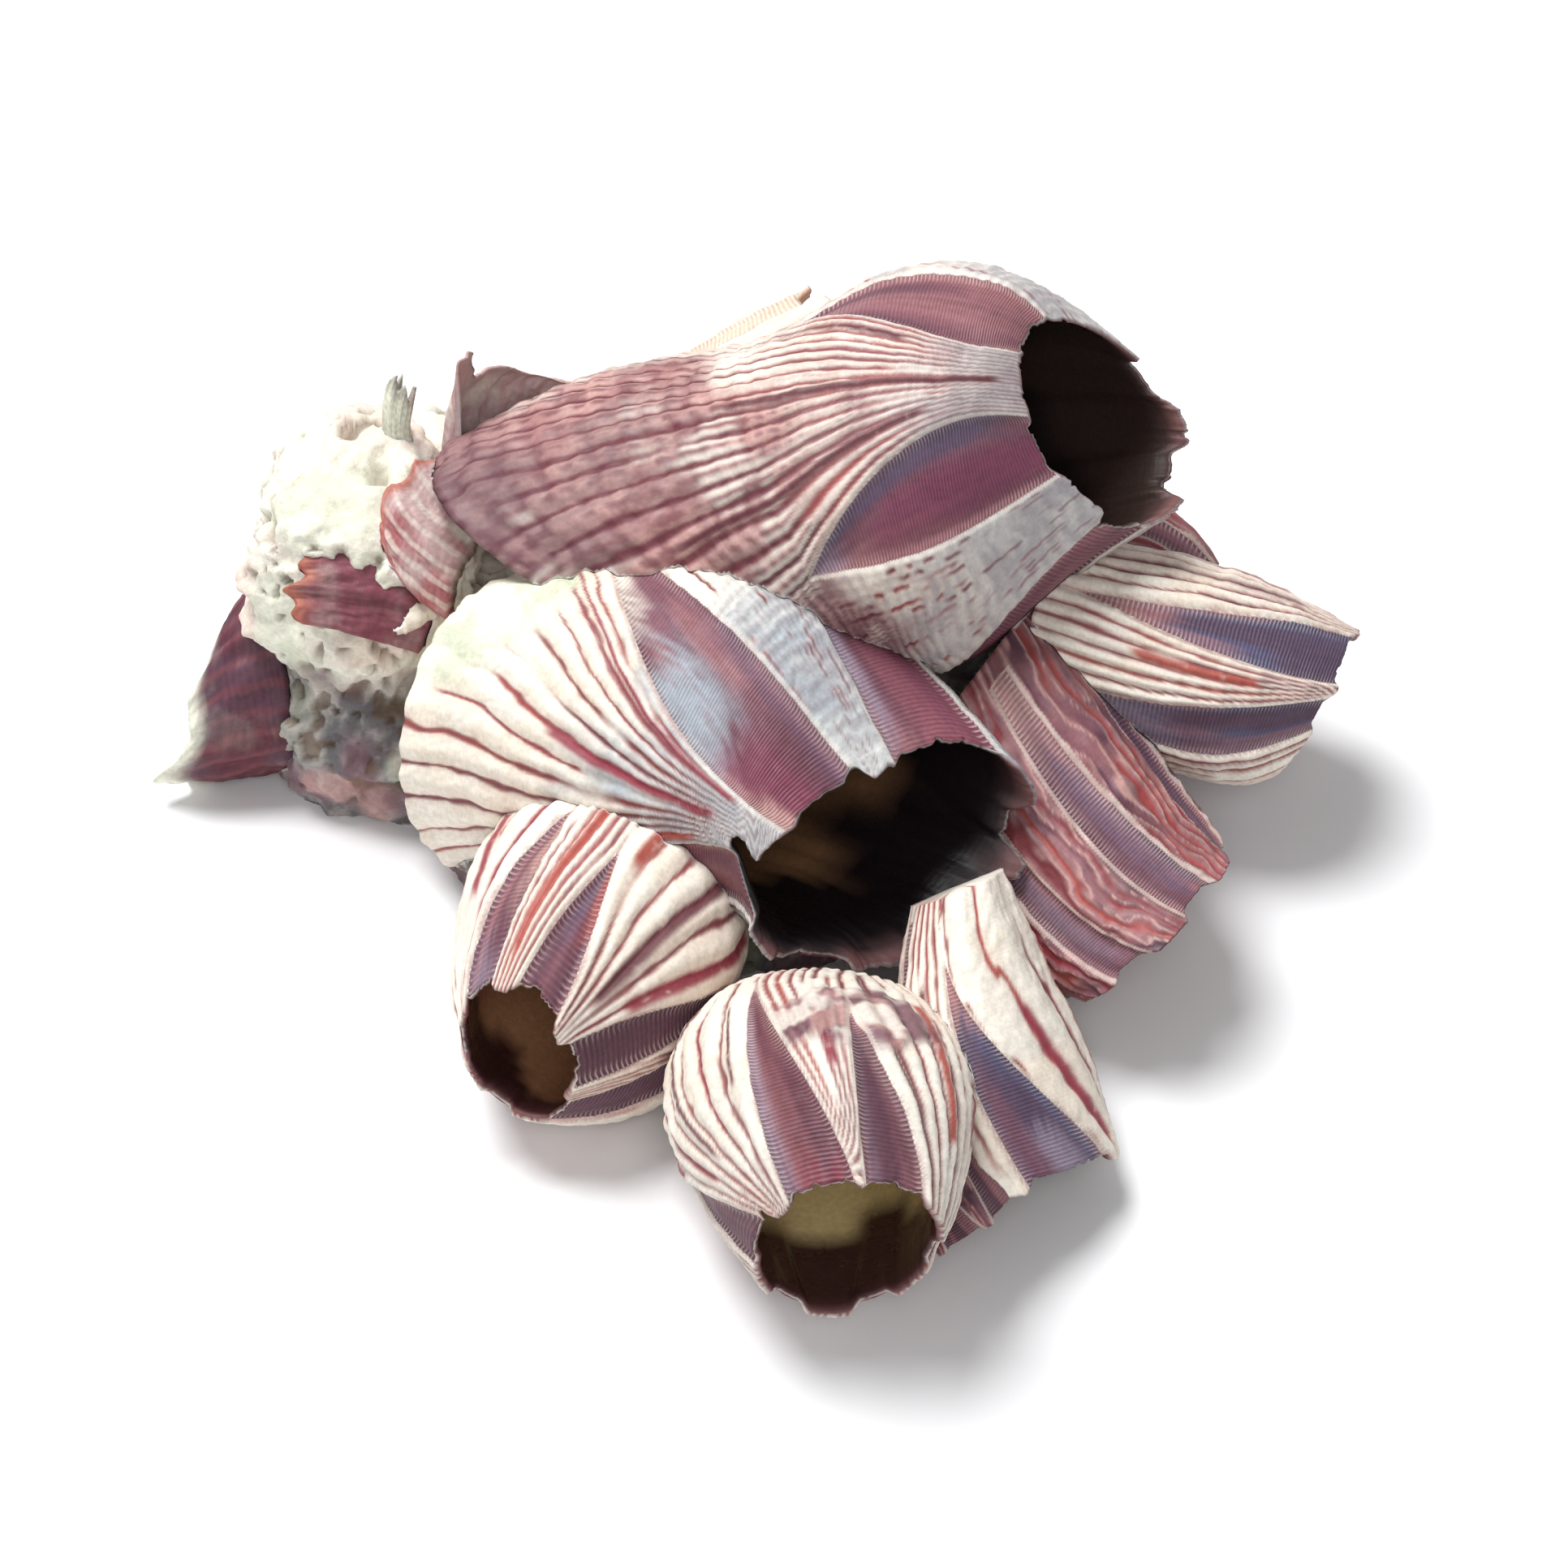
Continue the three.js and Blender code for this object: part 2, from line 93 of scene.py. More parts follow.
# A shell is a cup through three ellipses. "strips" are the sunken strips between its plates, each given by
# its two borders as angles at the base, half way and at the mouth. A dip is [angle, share, degrees wide], a
# bump is [angle, share, height, degrees wide, share long]. "bold" is how many degrees of plate each bold line
# has, and its half width. A streak runs along a strip: (strip, place across it, half width as a share of the
# strip, from, to, colour, strength).
SHELLS = {
    "shell_middle": dict(
        base=([-33, 17, 19], [6, 13, 9], [-8, -6, 14]),
        belly=([-9, 9, 27], [8, 12, 12], [-5, -11, 13]),
        mouth=([12, -12, 25], [1, 6, 10], [-16, -9, 3]),
        strips=[
            [[-5, 50, 16], [-30, 87, 50]],
            [[190, 150, 72], [205, 175, 105]],
            [[240, 235, 130], [250, 250, 165]],
            [[270, 275, 200], [280, 285, 232]],
            [[295, 300, 255], [300, 305, 280]],
            [[0, -15, -46], [-60, 3, 2]],
        ],
        notch=0.03,
        dips=[[95, 0.12, 16]],
        bumps=[[-35, 0.75, 2.5, 35, 0.3]],
        seed=1,
        grid=(480, 150),
        slot="striped_shell",
        look=dict(
            bold=(11, 0.5),
            lines=13,
            line=0.32,
            wash=0.85,
            wash_span=(0.32, 0.6),
            gaps=0.16,
            speckled=(5,),
            inside=(BLACK, OLIVE),
            chalk=[65, 0.06, 34, 0.15],
            ribs=0.2,
        ),
        streaks=[
            (0, 0.1, 0.12, 0.5, 1.1, INDIGO, 0.35),
            (0, 0.72, 0.32, 0.46, 0.72, WASH, 0.85),
            (0, 0.8, 0.3, 0.0, 0.3, CREAM, 0.8),
            (0, 0.7, 0.3, 0.72, 1.1, WINE, 0.6),
            (0, 0.92, 0.1, 0.9, 1.1, PINK, 0.6),
            (5, 0.95, 0.18, 0.3, 0.95, LILAC, 0.8),
            (5, 0.55, 0.25, 0.4, 0.95, PLUM, 0.5),
            (5, 0.3, 0.35, 0.3, 1.1, WINE, 0.4),
        ],
    ),
    "shell_top": dict(
        base=([-14, 30, 33], [-26, 8, 8], [-4, -16, 3]),
        belly=([13, 36, 43], [-5, 15, 15], [-5, -17, 12]),
        mouth=([36.5, 35, 49], [-3, 8, 8], [-10, -7, 8]),
        strips=[
            [[-50, 8, 25], [-110, 30, 58]],
            [[150, 95, 96], [85, 117, 129]],
            [[180, 168, 164], [190, 190, 198]],
            [[235, 235, 230], [240, 250, 262]],
            [[285, 280, 290], [290, 295, 315]],
        ],
        notch=0.03,
        dips=[],
        bumps=[[175, 0.62, 6, 35, 0.25], [-10, 0.33, -5, 45, 0.17]],
        seed=2,
        grid=(500, 150),
        slot="striped_shell",
        look=dict(
            bold=(11, 0.45),
            lines=17,
            line=0.42,
            wash=0.75,
            gaps=0.06,
            inside=(SOOT, BLACK),
            old=0.27,
            blush=0.25,
            speckled=(1, 4),
            ribs=0.17,
        ),
        streaks=[
            (0, 0.55, 0.2, 0.0, 1.1, ROSE, 0.4),
            (1, 0.12, 0.16, 0.35, 0.9, INDIGO, 0.7),
            (1, 0.6, 0.3, 0.5, 1.1, GRAPE, 0.7),
            (1, 0.6, 0.9, 0.0, 0.36, LILAC, 0.6),
        ],
    ),
    "shell_left": dict(
        base=([-15, 0, 12], [1, 3, 11], [10, -5, 2]),
        belly=([-21, -14, 15], [2, 6, 15], [14, -8, 1]),
        mouth=([-29, -32, 17], [1, 1, 8], [6, -3, -2]),
        strips=[
            [[355, 343, 285], [330, 343, 328]],
            [[20, 15, -6], [25, 11, 36]],
            [[100, 88, 55], [80, 90, 94]],
            [[80, 97, 107], [100, 115, 142]],
            [[190, 195, 178], [200, 205, 205]],
            [[235, 240, 232], [245, 250, 262]],
        ],
        notch=0.03,
        dips=[],
        bumps=[[140, 0.6, 2.5, 40, 0.3]],
        seed=3,
        grid=(330, 110),
        slot="striped_shell",
        look=dict(bold=(20, 0.65), lines=6, line=0.3, wash=0.05, gaps=0.28, inside=(SHEATH, TAN), ribs=0.22),
        streaks=[
            (0, 0.75, 0.3, 0.0, 0.8, PINK, 0.5),
            (0, 0.5, 0.5, 0.93, 1.1, LILAC, 0.5),
            (1, 0.4, 0.2, 0.6, 0.88, INDIGO, 0.45),
            (1, 0.85, 0.2, 0.4, 0.85, BRICK, 0.6),
            (2, 0.5, 0.9, 0.0, 1.1, PLUM, 0.9),
            (3, 0.5, 0.9, 0.0, 1.1, PLUM, 0.9),
        ],
    ),
    "shell_front": dict(
        base=([4, -22, 13], [0, -2, 9], [11, 0, 0]),
        belly=([4, -39, 16], [0, -2, 16], [16, 0, 0]),
        mouth=([6.5, -59, 17], [0, 0, 10], [10, 0, 2]),
        strips=[
            [[334, 328, 325], [325, 342, 366]],
            [[14, 10, 11], [10, 13, 52]],
            [[75, 85, 95], [85, 95, 120]],
            [[140, 145, 150], [150, 155, 175]],
            [[195, 200, 205], [205, 210, 232]],
            [[240, 240, 268], [265, 240, 310]],
        ],
        notch=0.03,
        dips=[],
        bumps=[],
        seed=4,
        grid=(360, 120),
        slot="striped_shell",
        look=dict(
            bold=(13, 0.45),
            lines=7,
            line=0.3,
            wash=0.2,
            gaps=0.25,
            inside=(SHEATH, STRAW),
            mottle=[14, 0.44, 38, 0.18],
            ribs=0.24,
        ),
        streaks=[
            (0, 0.12, 0.14, 0.4, 1.1, LILAC, 0.4),
            (0, 0.6, 0.35, 0.3, 0.95, MAROON, 0.55),
            (0, 0.7, 0.5, 0.93, 1.1, CRIMSON, 0.5),
            (1, 0.15, 0.14, 0.4, 1.1, LILAC, 0.3),
            (1, 0.5, 0.5, 0.5, 0.95, PLUM, 0.7),
            (5, 0.5, 0.9, 0.0, 1.1, PLUM, 0.7),
        ],
    ),
    "shell_front_right": dict(
        base=([19, -9, 19], [5, 4, -1], [1, -6.5, 6.5]),
        belly=([22, -25, 12], [9, 5, -1], [0, -8, 8]),
        mouth=([27, -40, 7], [9, 4, -2], [0, -7, 5]),
        strips=[
            [[132, 89, 22], [121, 111, 95]],
            [[165, 165, 150], [175, 178, 185]],
            [[220, 222, 215], [230, 235, 245]],
            [[280, 282, 278], [290, 295, 310]],
        ],
        notch=0.04,
        dips=[],
        bumps=[],
        seed=5,
        grid=(260, 100),
        slot="striped_shell",
        look=dict(
            bold=(40, 0.45),
            lines=5,
            line=0.32,
            wash=0.1,
            gaps=0.22,
            inside=(SHEATH, TAN),
            strip=INDIGO,
            ribs=0.22,
        ),
        streaks=[
            (0, 0.5, 0.9, 0.0, 0.42, ROSE, 0.8),
            (0, 0.45, 0.25, 0.8, 1.1, LILAC, 0.7),
            (0, 0.8, 0.2, 0.6, 1.1, MAUVE, 0.6),
        ],
    ),
    "shell_right_low": dict(
        base=([21, 21, 20], [8, 7, 8], [-1.5, -8.5, 7]),
        belly=([33.5, 3.5, 12.5], [9, 7, 7], [-2.5, -9.5, 8]),
        mouth=([41, -8.5, 12], [9, 6, 6], [1, -9, 7.2]),
        strips=[
            [[10, 0, -15], [20, 20, 15]],
            [[60, 55, 45], [70, 75, 72]],
            [[110, 108, 100], [122, 125, 122]],
            [[165, 165, 160], [175, 178, 185]],
            [[225, 225, 220], [235, 240, 250]],
            [[290, 290, 285], [300, 305, 315]],
        ],
        notch=0.05,
        dips=[],
        bumps=[],
        seed=6,
        grid=(300, 100),
        slot="mauve_shell",
        look=dict(lines=5, line=0.45, wash=0.1, gaps=0.2, inside=(SHEATH, TAN), wavy=0.9, ribs=0.2),
        streaks=[
            (1, 0.3, 0.3, 0.3, 0.9, INDIGO, 0.5),
            (0, 0.4, 0.3, 0.2, 0.9, INDIGO, 0.4),
            (2, 0.5, 0.3, 0.2, 0.9, LILAC, 0.4),
        ],
    ),
    "shell_right_high": dict(
        base=([30, 30, 22.5], [2, 7, 7], [-2, -9, 8]),
        belly=([50, 26, 18], [3, 8, 8], [-2, -11, 9]),
        mouth=([62, 24, 16], [5, 6, 6], [0, -8, 6]),
        strips=[
            [[62, 44, 25], [55, 71, 71]],
            [[122, 104, 81], [134, 134, 105]],
            [[175, 175, 160], [185, 190, 185]],
            [[225, 228, 225], [235, 240, 250]],
            [[285, 290, 290], [295, 300, 320]],
            [[340, 345, 350], [350, 352, 368]],
        ],
        notch=0.04,
        dips=[],
        bumps=[],
        seed=7,
        grid=(280, 95),
        slot="striped_shell",
        look=dict(
            bold=(15, 0.5),
            lines=6,
            line=0.36,
            wash=0.05,
            gaps=0.2,
            inside=(SHEATH, TAN),
            strip=INDIGO,
            ribs=0.3,
        ),
        streaks=[
            (0, 0.5, 0.6, 0.0, 0.35, ROSE, 0.7),
            (1, 0.5, 0.6, 0.0, 0.4, LILAC, 0.7),
            (1, 0.3, 0.2, 0.4, 1.1, PLUM, 0.6),
        ],
    ),
    "shell_far_right": dict(
        base=([35, 44, 16], [1, 5, 5], [-1, -8, 6]),
        belly=([42, 45, 17], [2, 6, 6], [-1, -9, 7]),
        mouth=([49, 42, 15], [3, 3, 3], [-1, -5, 4]),
        strips=[[[a, a, a - 8], [a + 20, a + 24, a + 30]] for a in (30, 90, 150, 210, 270, 330)],
        notch=0.04,
        dips=[],
        bumps=[],
        seed=8,
        grid=(160, 50),
        slot="mauve_shell",
        look=dict(lines=3, line=0.4, wash=0.1, gaps=0.4, inside=(SHEATH, TAN), wavy=0.6, ribs=0.25),
        streaks=[(1, 0.5, 0.9, 0.0, 1.1, PLUM, 0.8)],
    ),
    "shell_back": dict(
        base=([-16, 48, 24], [-5, 6, 8], [-6, -9, 5]),
        belly=([-4, 54, 32], [-7, 6, 8], [-6, -9, 5]),
        mouth=([8, 61, 39], [-5, 6, 3], [-0.5, -2.8, 6]),
        strips=[[[a, a, a - 8], [a + 12, a + 14, a + 26]] for a in (30, 90, 150, 210, 270, 330)],
        notch=0.06,
        dips=[],
        bumps=[],
        seed=9,
        grid=(180, 60),
        slot="striped_shell",
        look=dict(lines=4, line=0.3, wash=0.0, gaps=0.8, inside=(TAN, TAN), strip=PINK, ribs=0.3),
        streaks=[(k, 0.5, 0.7, 0.0, 1.1, WARM, 0.8) for k in range(6)],
    ),
    "shell_low_front": dict(
        base=([14, -35, 8], [3, 2, 5], [1, -6, 6]),
        belly=([17, -42, 9], [4, 4, 2], [1, -7, 6]),
        mouth=([20, -48, 9], [5, 4, 1], [1, -5, 4]),
        strips=[[[a, a, a - 10], [a + 26, a + 30, a + 36]] for a in (40, 100, 160, 220, 280, 340)],
        notch=0.05,
        dips=[],
        bumps=[],
        seed=10,
        grid=(180, 60),
        slot="mauve_shell",
        look=dict(
            lines=3,
            line=0.4,
            wash=0.0,
            gaps=0.4,
            inside=(SHEATH, TAN),
            strip=PLUM,
            wavy=0.8,
            ribs=0.2,
        ),
        streaks=[],
    ),
}

# What is left of broken shells: a stretch of wall between two angles, with a torn rim.
SHARDS = {
    "broken_shell_high": dict(
        base=([-27, 43, 29], [-2, 7, 4], [-10, -3, 2]),
        belly=([-29, 45, 36], [-2, 7, 4], [-10, -4, 2]),
        mouth=([-30, 48, 47], [3, 4, -6], [-6, -2.5, 6]),
        span=(-60, 105),
        torn=0.08,
        seed=21,
        colours=(linear("#DCC0BC"), linear("#C6AEB0"), linear("#C89A94")),
        pale=0.6,
        tip=linear("#C0A29E"),
    ),
    "broken_shell_low": dict(
        base=([-56, 33, 13], [-2, 5, 10], [-2, -8, 3.5]),
        belly=([-62, 31.5, 12], [-1, 5, 10], [-2, -8, 3.5]),
        mouth=([-71, 29, 7], [4, 3, 7], [-2, -6, 2.5]),
        span=(-60, 200),
        torn=0.1,
        seed=22,
        colours=(PLUM, MAROON, linear("#84464E")),
        pale=0.08,
        tip=CHALK,
    ),
    "broken_rim_middle": dict(
        base=([-38, 31, 24], [4, 8, 6], [-2, -7, 6]),
        belly=([-46, 30, 27], [2, 8, 6], [-2, -7, 7]),
        mouth=([-55, 29, 29], [0, 6, 5], [-2, -6, 6]),
        span=(45, 120),
        torn=0.08,
        seed=23,
        colours=(linear("#945A64"), linear("#7E4450"), MAROON),
        pale=0.12,
        tip=linear("#B06A58"),
    ),
    "broken_rim_upper": dict(
        base=([-34, 32, 28], [2, 6, 5], [-4, -7, 5]),
        belly=([-38, 33, 33], [2, 6, 5], [-5, -7, 5]),
        mouth=([-41, 35, 37], [2, 5, 4], [-5, -5, 4]),
        span=(0, 125),
        torn=0.1,
        seed=24,
        colours=(linear("#CDB0AE"), linear("#AE6C70"), CREAM),
        pale=0.85,
        tip=linear("#B87264"),
    ),
    "broken_spur": dict(
        base=([-43.5, 41, 37], [-2.1, 0, 0], [0, -2, 0]),
        belly=([-44.3, 41.5, 43.5], [-1.8, 0, 0], [0, -1.6, 0]),
        mouth=([-42.8, 42.5, 50], [-1.9, 0, 0], [0, -1.6, 0]),
        span=(-80, 150),
        torn=0.1,
        seed=25,
        colours=(linear("#E4E6D6"), CHALK, SAGE),
        pale=0.5,
        tip=linear("#B8B4A8"),
    ),
}

# The old growth under and beside the shells: middle and half sizes of its blunt lumps.
LUMPS = [
    ([-49, 37, 22], [13, 16, 20]),
    ([-38, 49, 30], [8, 7, 8]),
    ([-46, 27, 8], [14, 9, 11]),
    ([-24, 40, 12], [22, 15, 16]),
    ([-8, 20, 6], [34, 25, 13]),
    ([6, 42, 12], [30, 14, 16]),
]
BLUNT = 3
VOXEL = 0.5  # size of the cells that melt the lumps together


# Small helpers on arrays.
def through(a, b, c, t):
    return 2 * (t - 0.5) * (t - 1) * a + 4 * t * (1 - t) * b + 2 * t * (t - 0.5) * c


def turn(a, b):
    return (b - a + 180) % 360 - 180


def smooth(x, low, high):
    t = np.clip((x - low) / (high - low), 0, 1)
    return t * t * (3 - 2 * t)


def mix(a, b, share):
    return a + (b - a) * np.clip(share, 0, 1)[..., None]


def noise(x, y, seed, repeat=256):
    """Smooth noise from -1 to 1; x repeats after a whole number of cells."""
    table = np.random.default_rng(seed).uniform(-1, 1, (repeat, 256))
    i, j = np.floor(x).astype(int), np.floor(y).astype(int)
    u, v = smooth(x - i, 0, 1), smooth(y - j, 0, 1)
    a, b = table[i % repeat, j % 256], table[(i + 1) % repeat, j % 256]
    c, d = table[i % repeat, (j + 1) % 256], table[(i + 1) % repeat, (j + 1) % 256]
    return (a + (b - a) * u) * (1 - v) + (c + (d - c) * u) * v


def noise3(p, seed):
    """Smooth noise from -1 to 1 in space."""
    table = np.random.default_rng(seed).uniform(-1, 1, (48, 48, 48))
    cell = np.floor(p).astype(int)
    f = smooth(p - cell, 0, 1)
    total = 0
    for corner in np.ndindex(2, 2, 2):
        weight = np.prod([f[..., k] if corner[k] else 1 - f[..., k] for k in range(3)], axis=0)
        at = [(cell[..., k] + corner[k]) % 48 for k in range(3)]
        total = total + weight * table[at[0], at[1], at[2]]
    return total


def cloud3(p, size, seed):
    """Three layers of noise in space, each finer and turned against the one before."""
    turned = p @ np.array([[0.8, 0.36, 0.48], [-0.6, 0.48, 0.64], [0.0, -0.8, 0.6]])
    again = turned @ np.array([[0.6, 0.0, 0.8], [0.0, 1.0, 0.0], [-0.8, 0.0, 0.6]])
    middle = 0.6 * noise3(turned / (0.5 * size), seed + 1)
    fine = 0.35 * noise3(again / (0.25 * size), seed + 2)
    return (noise3(p / size, seed) + middle + fine) / 1.3


# The form of a shell.
def form_point(piece, angle, t, scale, out):
    a = np.radians(angle)
    rings = [piece["base"], piece["belly"], piece["mouth"]]
    at, top, near = (through(*[np.array(ring[k], float) for ring in rings], t[..., None]) for k in range(3))
    offset = top * np.cos(a)[..., None] + near * np.sin(a)[..., None]
    radius = np.linalg.norm(offset, axis=-1)
    reach = np.maximum(radius * scale + out, 0.1 * radius)
    return at + offset * (reach / radius)[..., None], radius


def strip_fields(piece, angle, t):
    """Per point: depth inside a strip, place across it, its number; place across the plate, number, width."""
    starts = (-999, 0, 0, 999, 999, 0)
    inside, across, which, behind, ahead, plate = (np.full(angle.shape, v, float) for v in starts)
    for k, (low, high) in enumerate(piece["strips"]):
        lo, hi = through(*low, t), through(*high, t)
        middle, half = (lo + hi) / 2, (hi - lo) / 2
        off = turn(middle, angle)
        depth = half - np.abs(off)
        nearer = depth > inside
        inside = np.where(nearer, depth, inside)
        across = np.where(nearer, 0.5 + off / np.maximum(2 * half, 1e-3), across)
        which = np.where(nearer, k, which)
        wide = np.maximum(half, 0)
        back, front = (angle - middle - wide) % 360, (middle - wide - angle) % 360
        closer = back < behind
        behind = np.where(closer, back, behind)
        plate = np.where(closer, k, plate)
        ahead = np.minimum(ahead, front)
    width = np.maximum(behind + ahead, 0.5)
    return inside, np.clip(across, 0, 1), which, behind / width, plate, width


def unevenness(piece, angle, t):
    a, s = np.radians(angle), piece["seed"]
    return 0.03 * np.sin(2 * a + 4 * t + s) + 0.02 * np.sin(3 * a - 5 * t + 2.3 * s)


def rim_share(piece, angle):
    """How far along the shell its mouth's edge lies at each angle."""
    inside = strip_fields(piece, angle, np.ones_like(angle))[0]
    edge = 1 - piece["notch"] * smooth(inside, -5, 5)
    for at, share, wide in piece["dips"]:
        edge = edge - share * np.exp(-((turn(at, angle) / wide) ** 2))
    chips = smooth(noise(angle / 6, angle * 0, piece["seed"] + 51, 60), 0.45, 0.7)
    return edge - 0.008 * chips - 0.002 * noise(angle / 2, angle * 0, piece["seed"] + 50, 180)


def bump_height(piece, angle, t):
    return sum(
        height * np.exp(-((turn(at, angle) / wide) ** 2) - ((t - where) / long) ** 2)
        for at, where, height, wide, long in piece["bumps"]
    )


def length_along(piece, t):
    return 1.1 * t * np.linalg.norm(np.array(piece["mouth"][0]) - np.array(piece["base"][0]))


def patch_share(spot, angle, t, wobble):
    """How much a point lies in a patch given as [angle, share, degrees wide, share long]."""
    at, where, wide, long = spot
    near = np.exp(-((turn(at, angle) / wide) ** 2) - ((t - where) / long) ** 2)
    return smooth(near + 0.15 * wobble, 0.35, 0.6)


def bold_counts(piece):
    """How many bold lines each plate has; a plate has the number of the strip behind it."""
    strips = piece["strips"]
    behind = np.array([through(*high, BOLD_LOOK) for _, high in strips])
    ahead = np.array([through(*low, BOLD_LOOK) for low, _ in strips[1:] + strips[:1]])
    return np.maximum(1, np.round((ahead - behind) % 360 / piece["look"]["bold"][0]))


def bold_lines(piece, t, f):
    """Bold lines set evenly across unspeckled plates: their cover, the blush beside them, their colour."""
    rng = np.random.default_rng(piece["seed"] + 40)
    shift, thick = rng.uniform(-0.15, 0.15, 64), rng.uniform(0.55, 1.4, 64)
    start, end = rng.uniform(*BOLD_START, 64), rng.uniform(*BOLD_END, 64)
    hues = np.array([CRIMSON, CRIMSON, BRICK, MAROON])[rng.integers(0, 4, 64)]
    count = bold_counts(piece)[f["plate"].astype(int)]
    number = np.minimum(np.floor(f["s"] * count), count - 1)
    key = (number + 11 * f["plate"]).astype(int) % 64
    spacing = f["width"] * f["per_degree"] / count
    far = (f["s"] * count - number - 0.5 + shift[key]) * spacing + 0.22 * f["wobble"]
    wide = np.minimum(piece["look"]["bold"][1] * thick[key], 0.25 * spacing)
    soft = 0.03 * f["wobble"]
    ends = smooth(t + soft, start[key] - 0.02, start[key] + 0.03)
    ends = ends * smooth(end[key] - t + soft, -0.03, 0.02)
    ends = ends * (1 - f["speckled"])
    return np.exp(-((far / wide) ** 4)) * ends, np.exp(-((far / (1.4 * wide)) ** 2)) * ends, hues[key]


def plate_colours(piece, angle, t, f):
    """Cream plates with crimson lines, washed blue-grey towards the mouth."""
    look, seed, along = piece["look"], piece["seed"], f["along"]
    blank = np.zeros(angle.shape + (3,))
    rng = np.random.default_rng(seed + 3)
    widths, hues = rng.uniform(0.55, 1.25, 512), rng.uniform(0, 1, 512)
    key = f["key"]
    on = smooth(noise(key * 7.3, along / 13, seed + 4) + 1 - 2 * look["gaps"], -0.1, 0.15)
    uneven = 1 + 0.4 * noise(key * 5.1, along / 1.4, seed + 28)
    dashes = smooth(noise(key * 3.3, along / 1.6, seed + 29), 0.0, 0.4)
    dashes = dashes * smooth(noise(key * 1.7, along / 9, seed + 30), -0.2, 0.3)
    on = np.where(f["speckled"], on * dashes, on)
    half = np.minimum(look["line"] * widths[key] * uneven, 0.27 * f["spacing"])
    line = np.exp(-((f["off_mm"] / half) ** 4)) * on
    red = mix(mix(CRIMSON + blank, BRICK, hues[key]), MAROON, 0.75 * hues[(key * 3) % 512])
    stain = smooth(cloud3(f["point"], 7.0, seed + 8), -0.1, 0.5)
    ground = mix(CREAM + blank, WARM, 0.45 * stain)
    start, full = look.get("wash_span", (0.4, 0.85))
    washed = look["wash"] * smooth(t + 0.12 * f["wobble"], start, full)
    ground = mix(ground, WASH, washed * (0.7 + 0.3 * stain))
    ground = mix(ground, ROSE, look.get("blush", 0) * (0.5 + 0.5 * stain))
    veil = smooth(cloud3(f["point"], 6.0, seed + 31) + 0.3 * np.sin(along * 3 + 3 * f["wobble"]), -0.2, 0.6)
    ground = mix(ground, VEIL, 0.55 * veil * f["speckled"])
    wavy = look.get("wavy", 0)
    if wavy:
        purple = mix(MAUVE + blank, PLUM, smooth(cloud3(f["point"], 8.0, seed + 9), -0.3, 0.3))
        purple = mix(purple, ROSE, 0.45 * smooth(cloud3(f["point"], 9.0, seed + 14), 0.0, 0.4))
        seam = 0.6 * smooth(f["off"], 0.34, 0.47)
        ground = mix(purple, PINK, seam * smooth(noise(key * 3.1, along / 6, seed + 15), -0.4, 0.2))
    fade = 1 - 0.75 * look["wash"] * smooth(t + 0.1 * f["wobble"], 0.55, 0.85)
    tone = mix(ground, PINK, 0.3 * np.exp(-((f["off_mm"] / (2.2 * half)) ** 2)) * on * fade)
    tone = mix(tone, mix(red, SHADE, 1 - fade), line * (0.4 + 0.6 * fade) * 0.95)
    if "old" in look:
        rings = 0.5 + 0.5 * np.sin(along * 2 * math.pi / 1.5 + 2.5 * f["wobble"])
        ribs = 0.5 + 0.5 * np.cos(4 * math.pi * f["u"])
        dots = smooth(0.5 * rings + 0.5 * ribs + 0.6 * cloud3(f["point"], 2.5, seed + 16), 0.35, 0.85)
        worn = mix(mix(ROSE + blank, PINK, 0.5 * (1 - stain)), GARNET, 0.9 * dots)
        low = smooth(cloud3(f["point"], 14.0, seed + 17), -0.25, 0.35)
        worn = mix(worn, PLUM, 0.6 * low * (1 - 0.5 * ribs))
        worn = mix(worn, CREAM, 0.7 * smooth(cloud3(f["point"], 9.0, seed + 26), 0.05, 0.4) * (1 - ribs))
        worn = mix(worn, MAROON, 0.85 * line)
        spread = look["old"] + 0.2 * cloud3(f["point"], 13.0, seed + 27)
        spread = spread + 0.13 * np.cos(np.radians(angle - 105))
        old = smooth(spread - t, -0.1, 0.1)
        tone = mix(tone, worn, 0.9 * old)
        edge = np.exp(-((t - 0.03) / 0.05) ** 2)
        tone = mix(tone, PLUM, 0.5 * edge)
    if "chalk" in look:
        patch = patch_share(look["chalk"], angle, t, f["wobble"])
        tone = mix(tone, mix(CHALK + blank, SAGE, stain), patch)
    if "bold" in look:
        body, beside, colour = bold_lines(piece, t, f)
        ragged = smooth(noise(angle / 2, along / 1.1, seed + 18, 180) + 1.3, 0.0, 0.7)
        tone = mix(tone, PINK, 0.3 * beside)
        tone = mix(tone, colour, 0.95 * body * ragged)
    if "mottle" in look:
        patch = patch_share(look["mottle"], angle, t, f["wobble"])
        crust = mix(MAUVE + blank, PLUM, smooth(cloud3(f["point"], 3.0, seed + 12), -0.1, 0.4))
        crust = mix(crust, PINK, 0.5 * smooth(cloud3(f["point"], 4.0, seed + 25), 0.0, 0.4))
        crust = mix(crust, CREAM, 0.7 * smooth(cloud3(f["point"], 5.0, seed + 19), 0.1, 0.4))
        tone = mix(tone, crust, 0.92 * patch)
    return tone, line


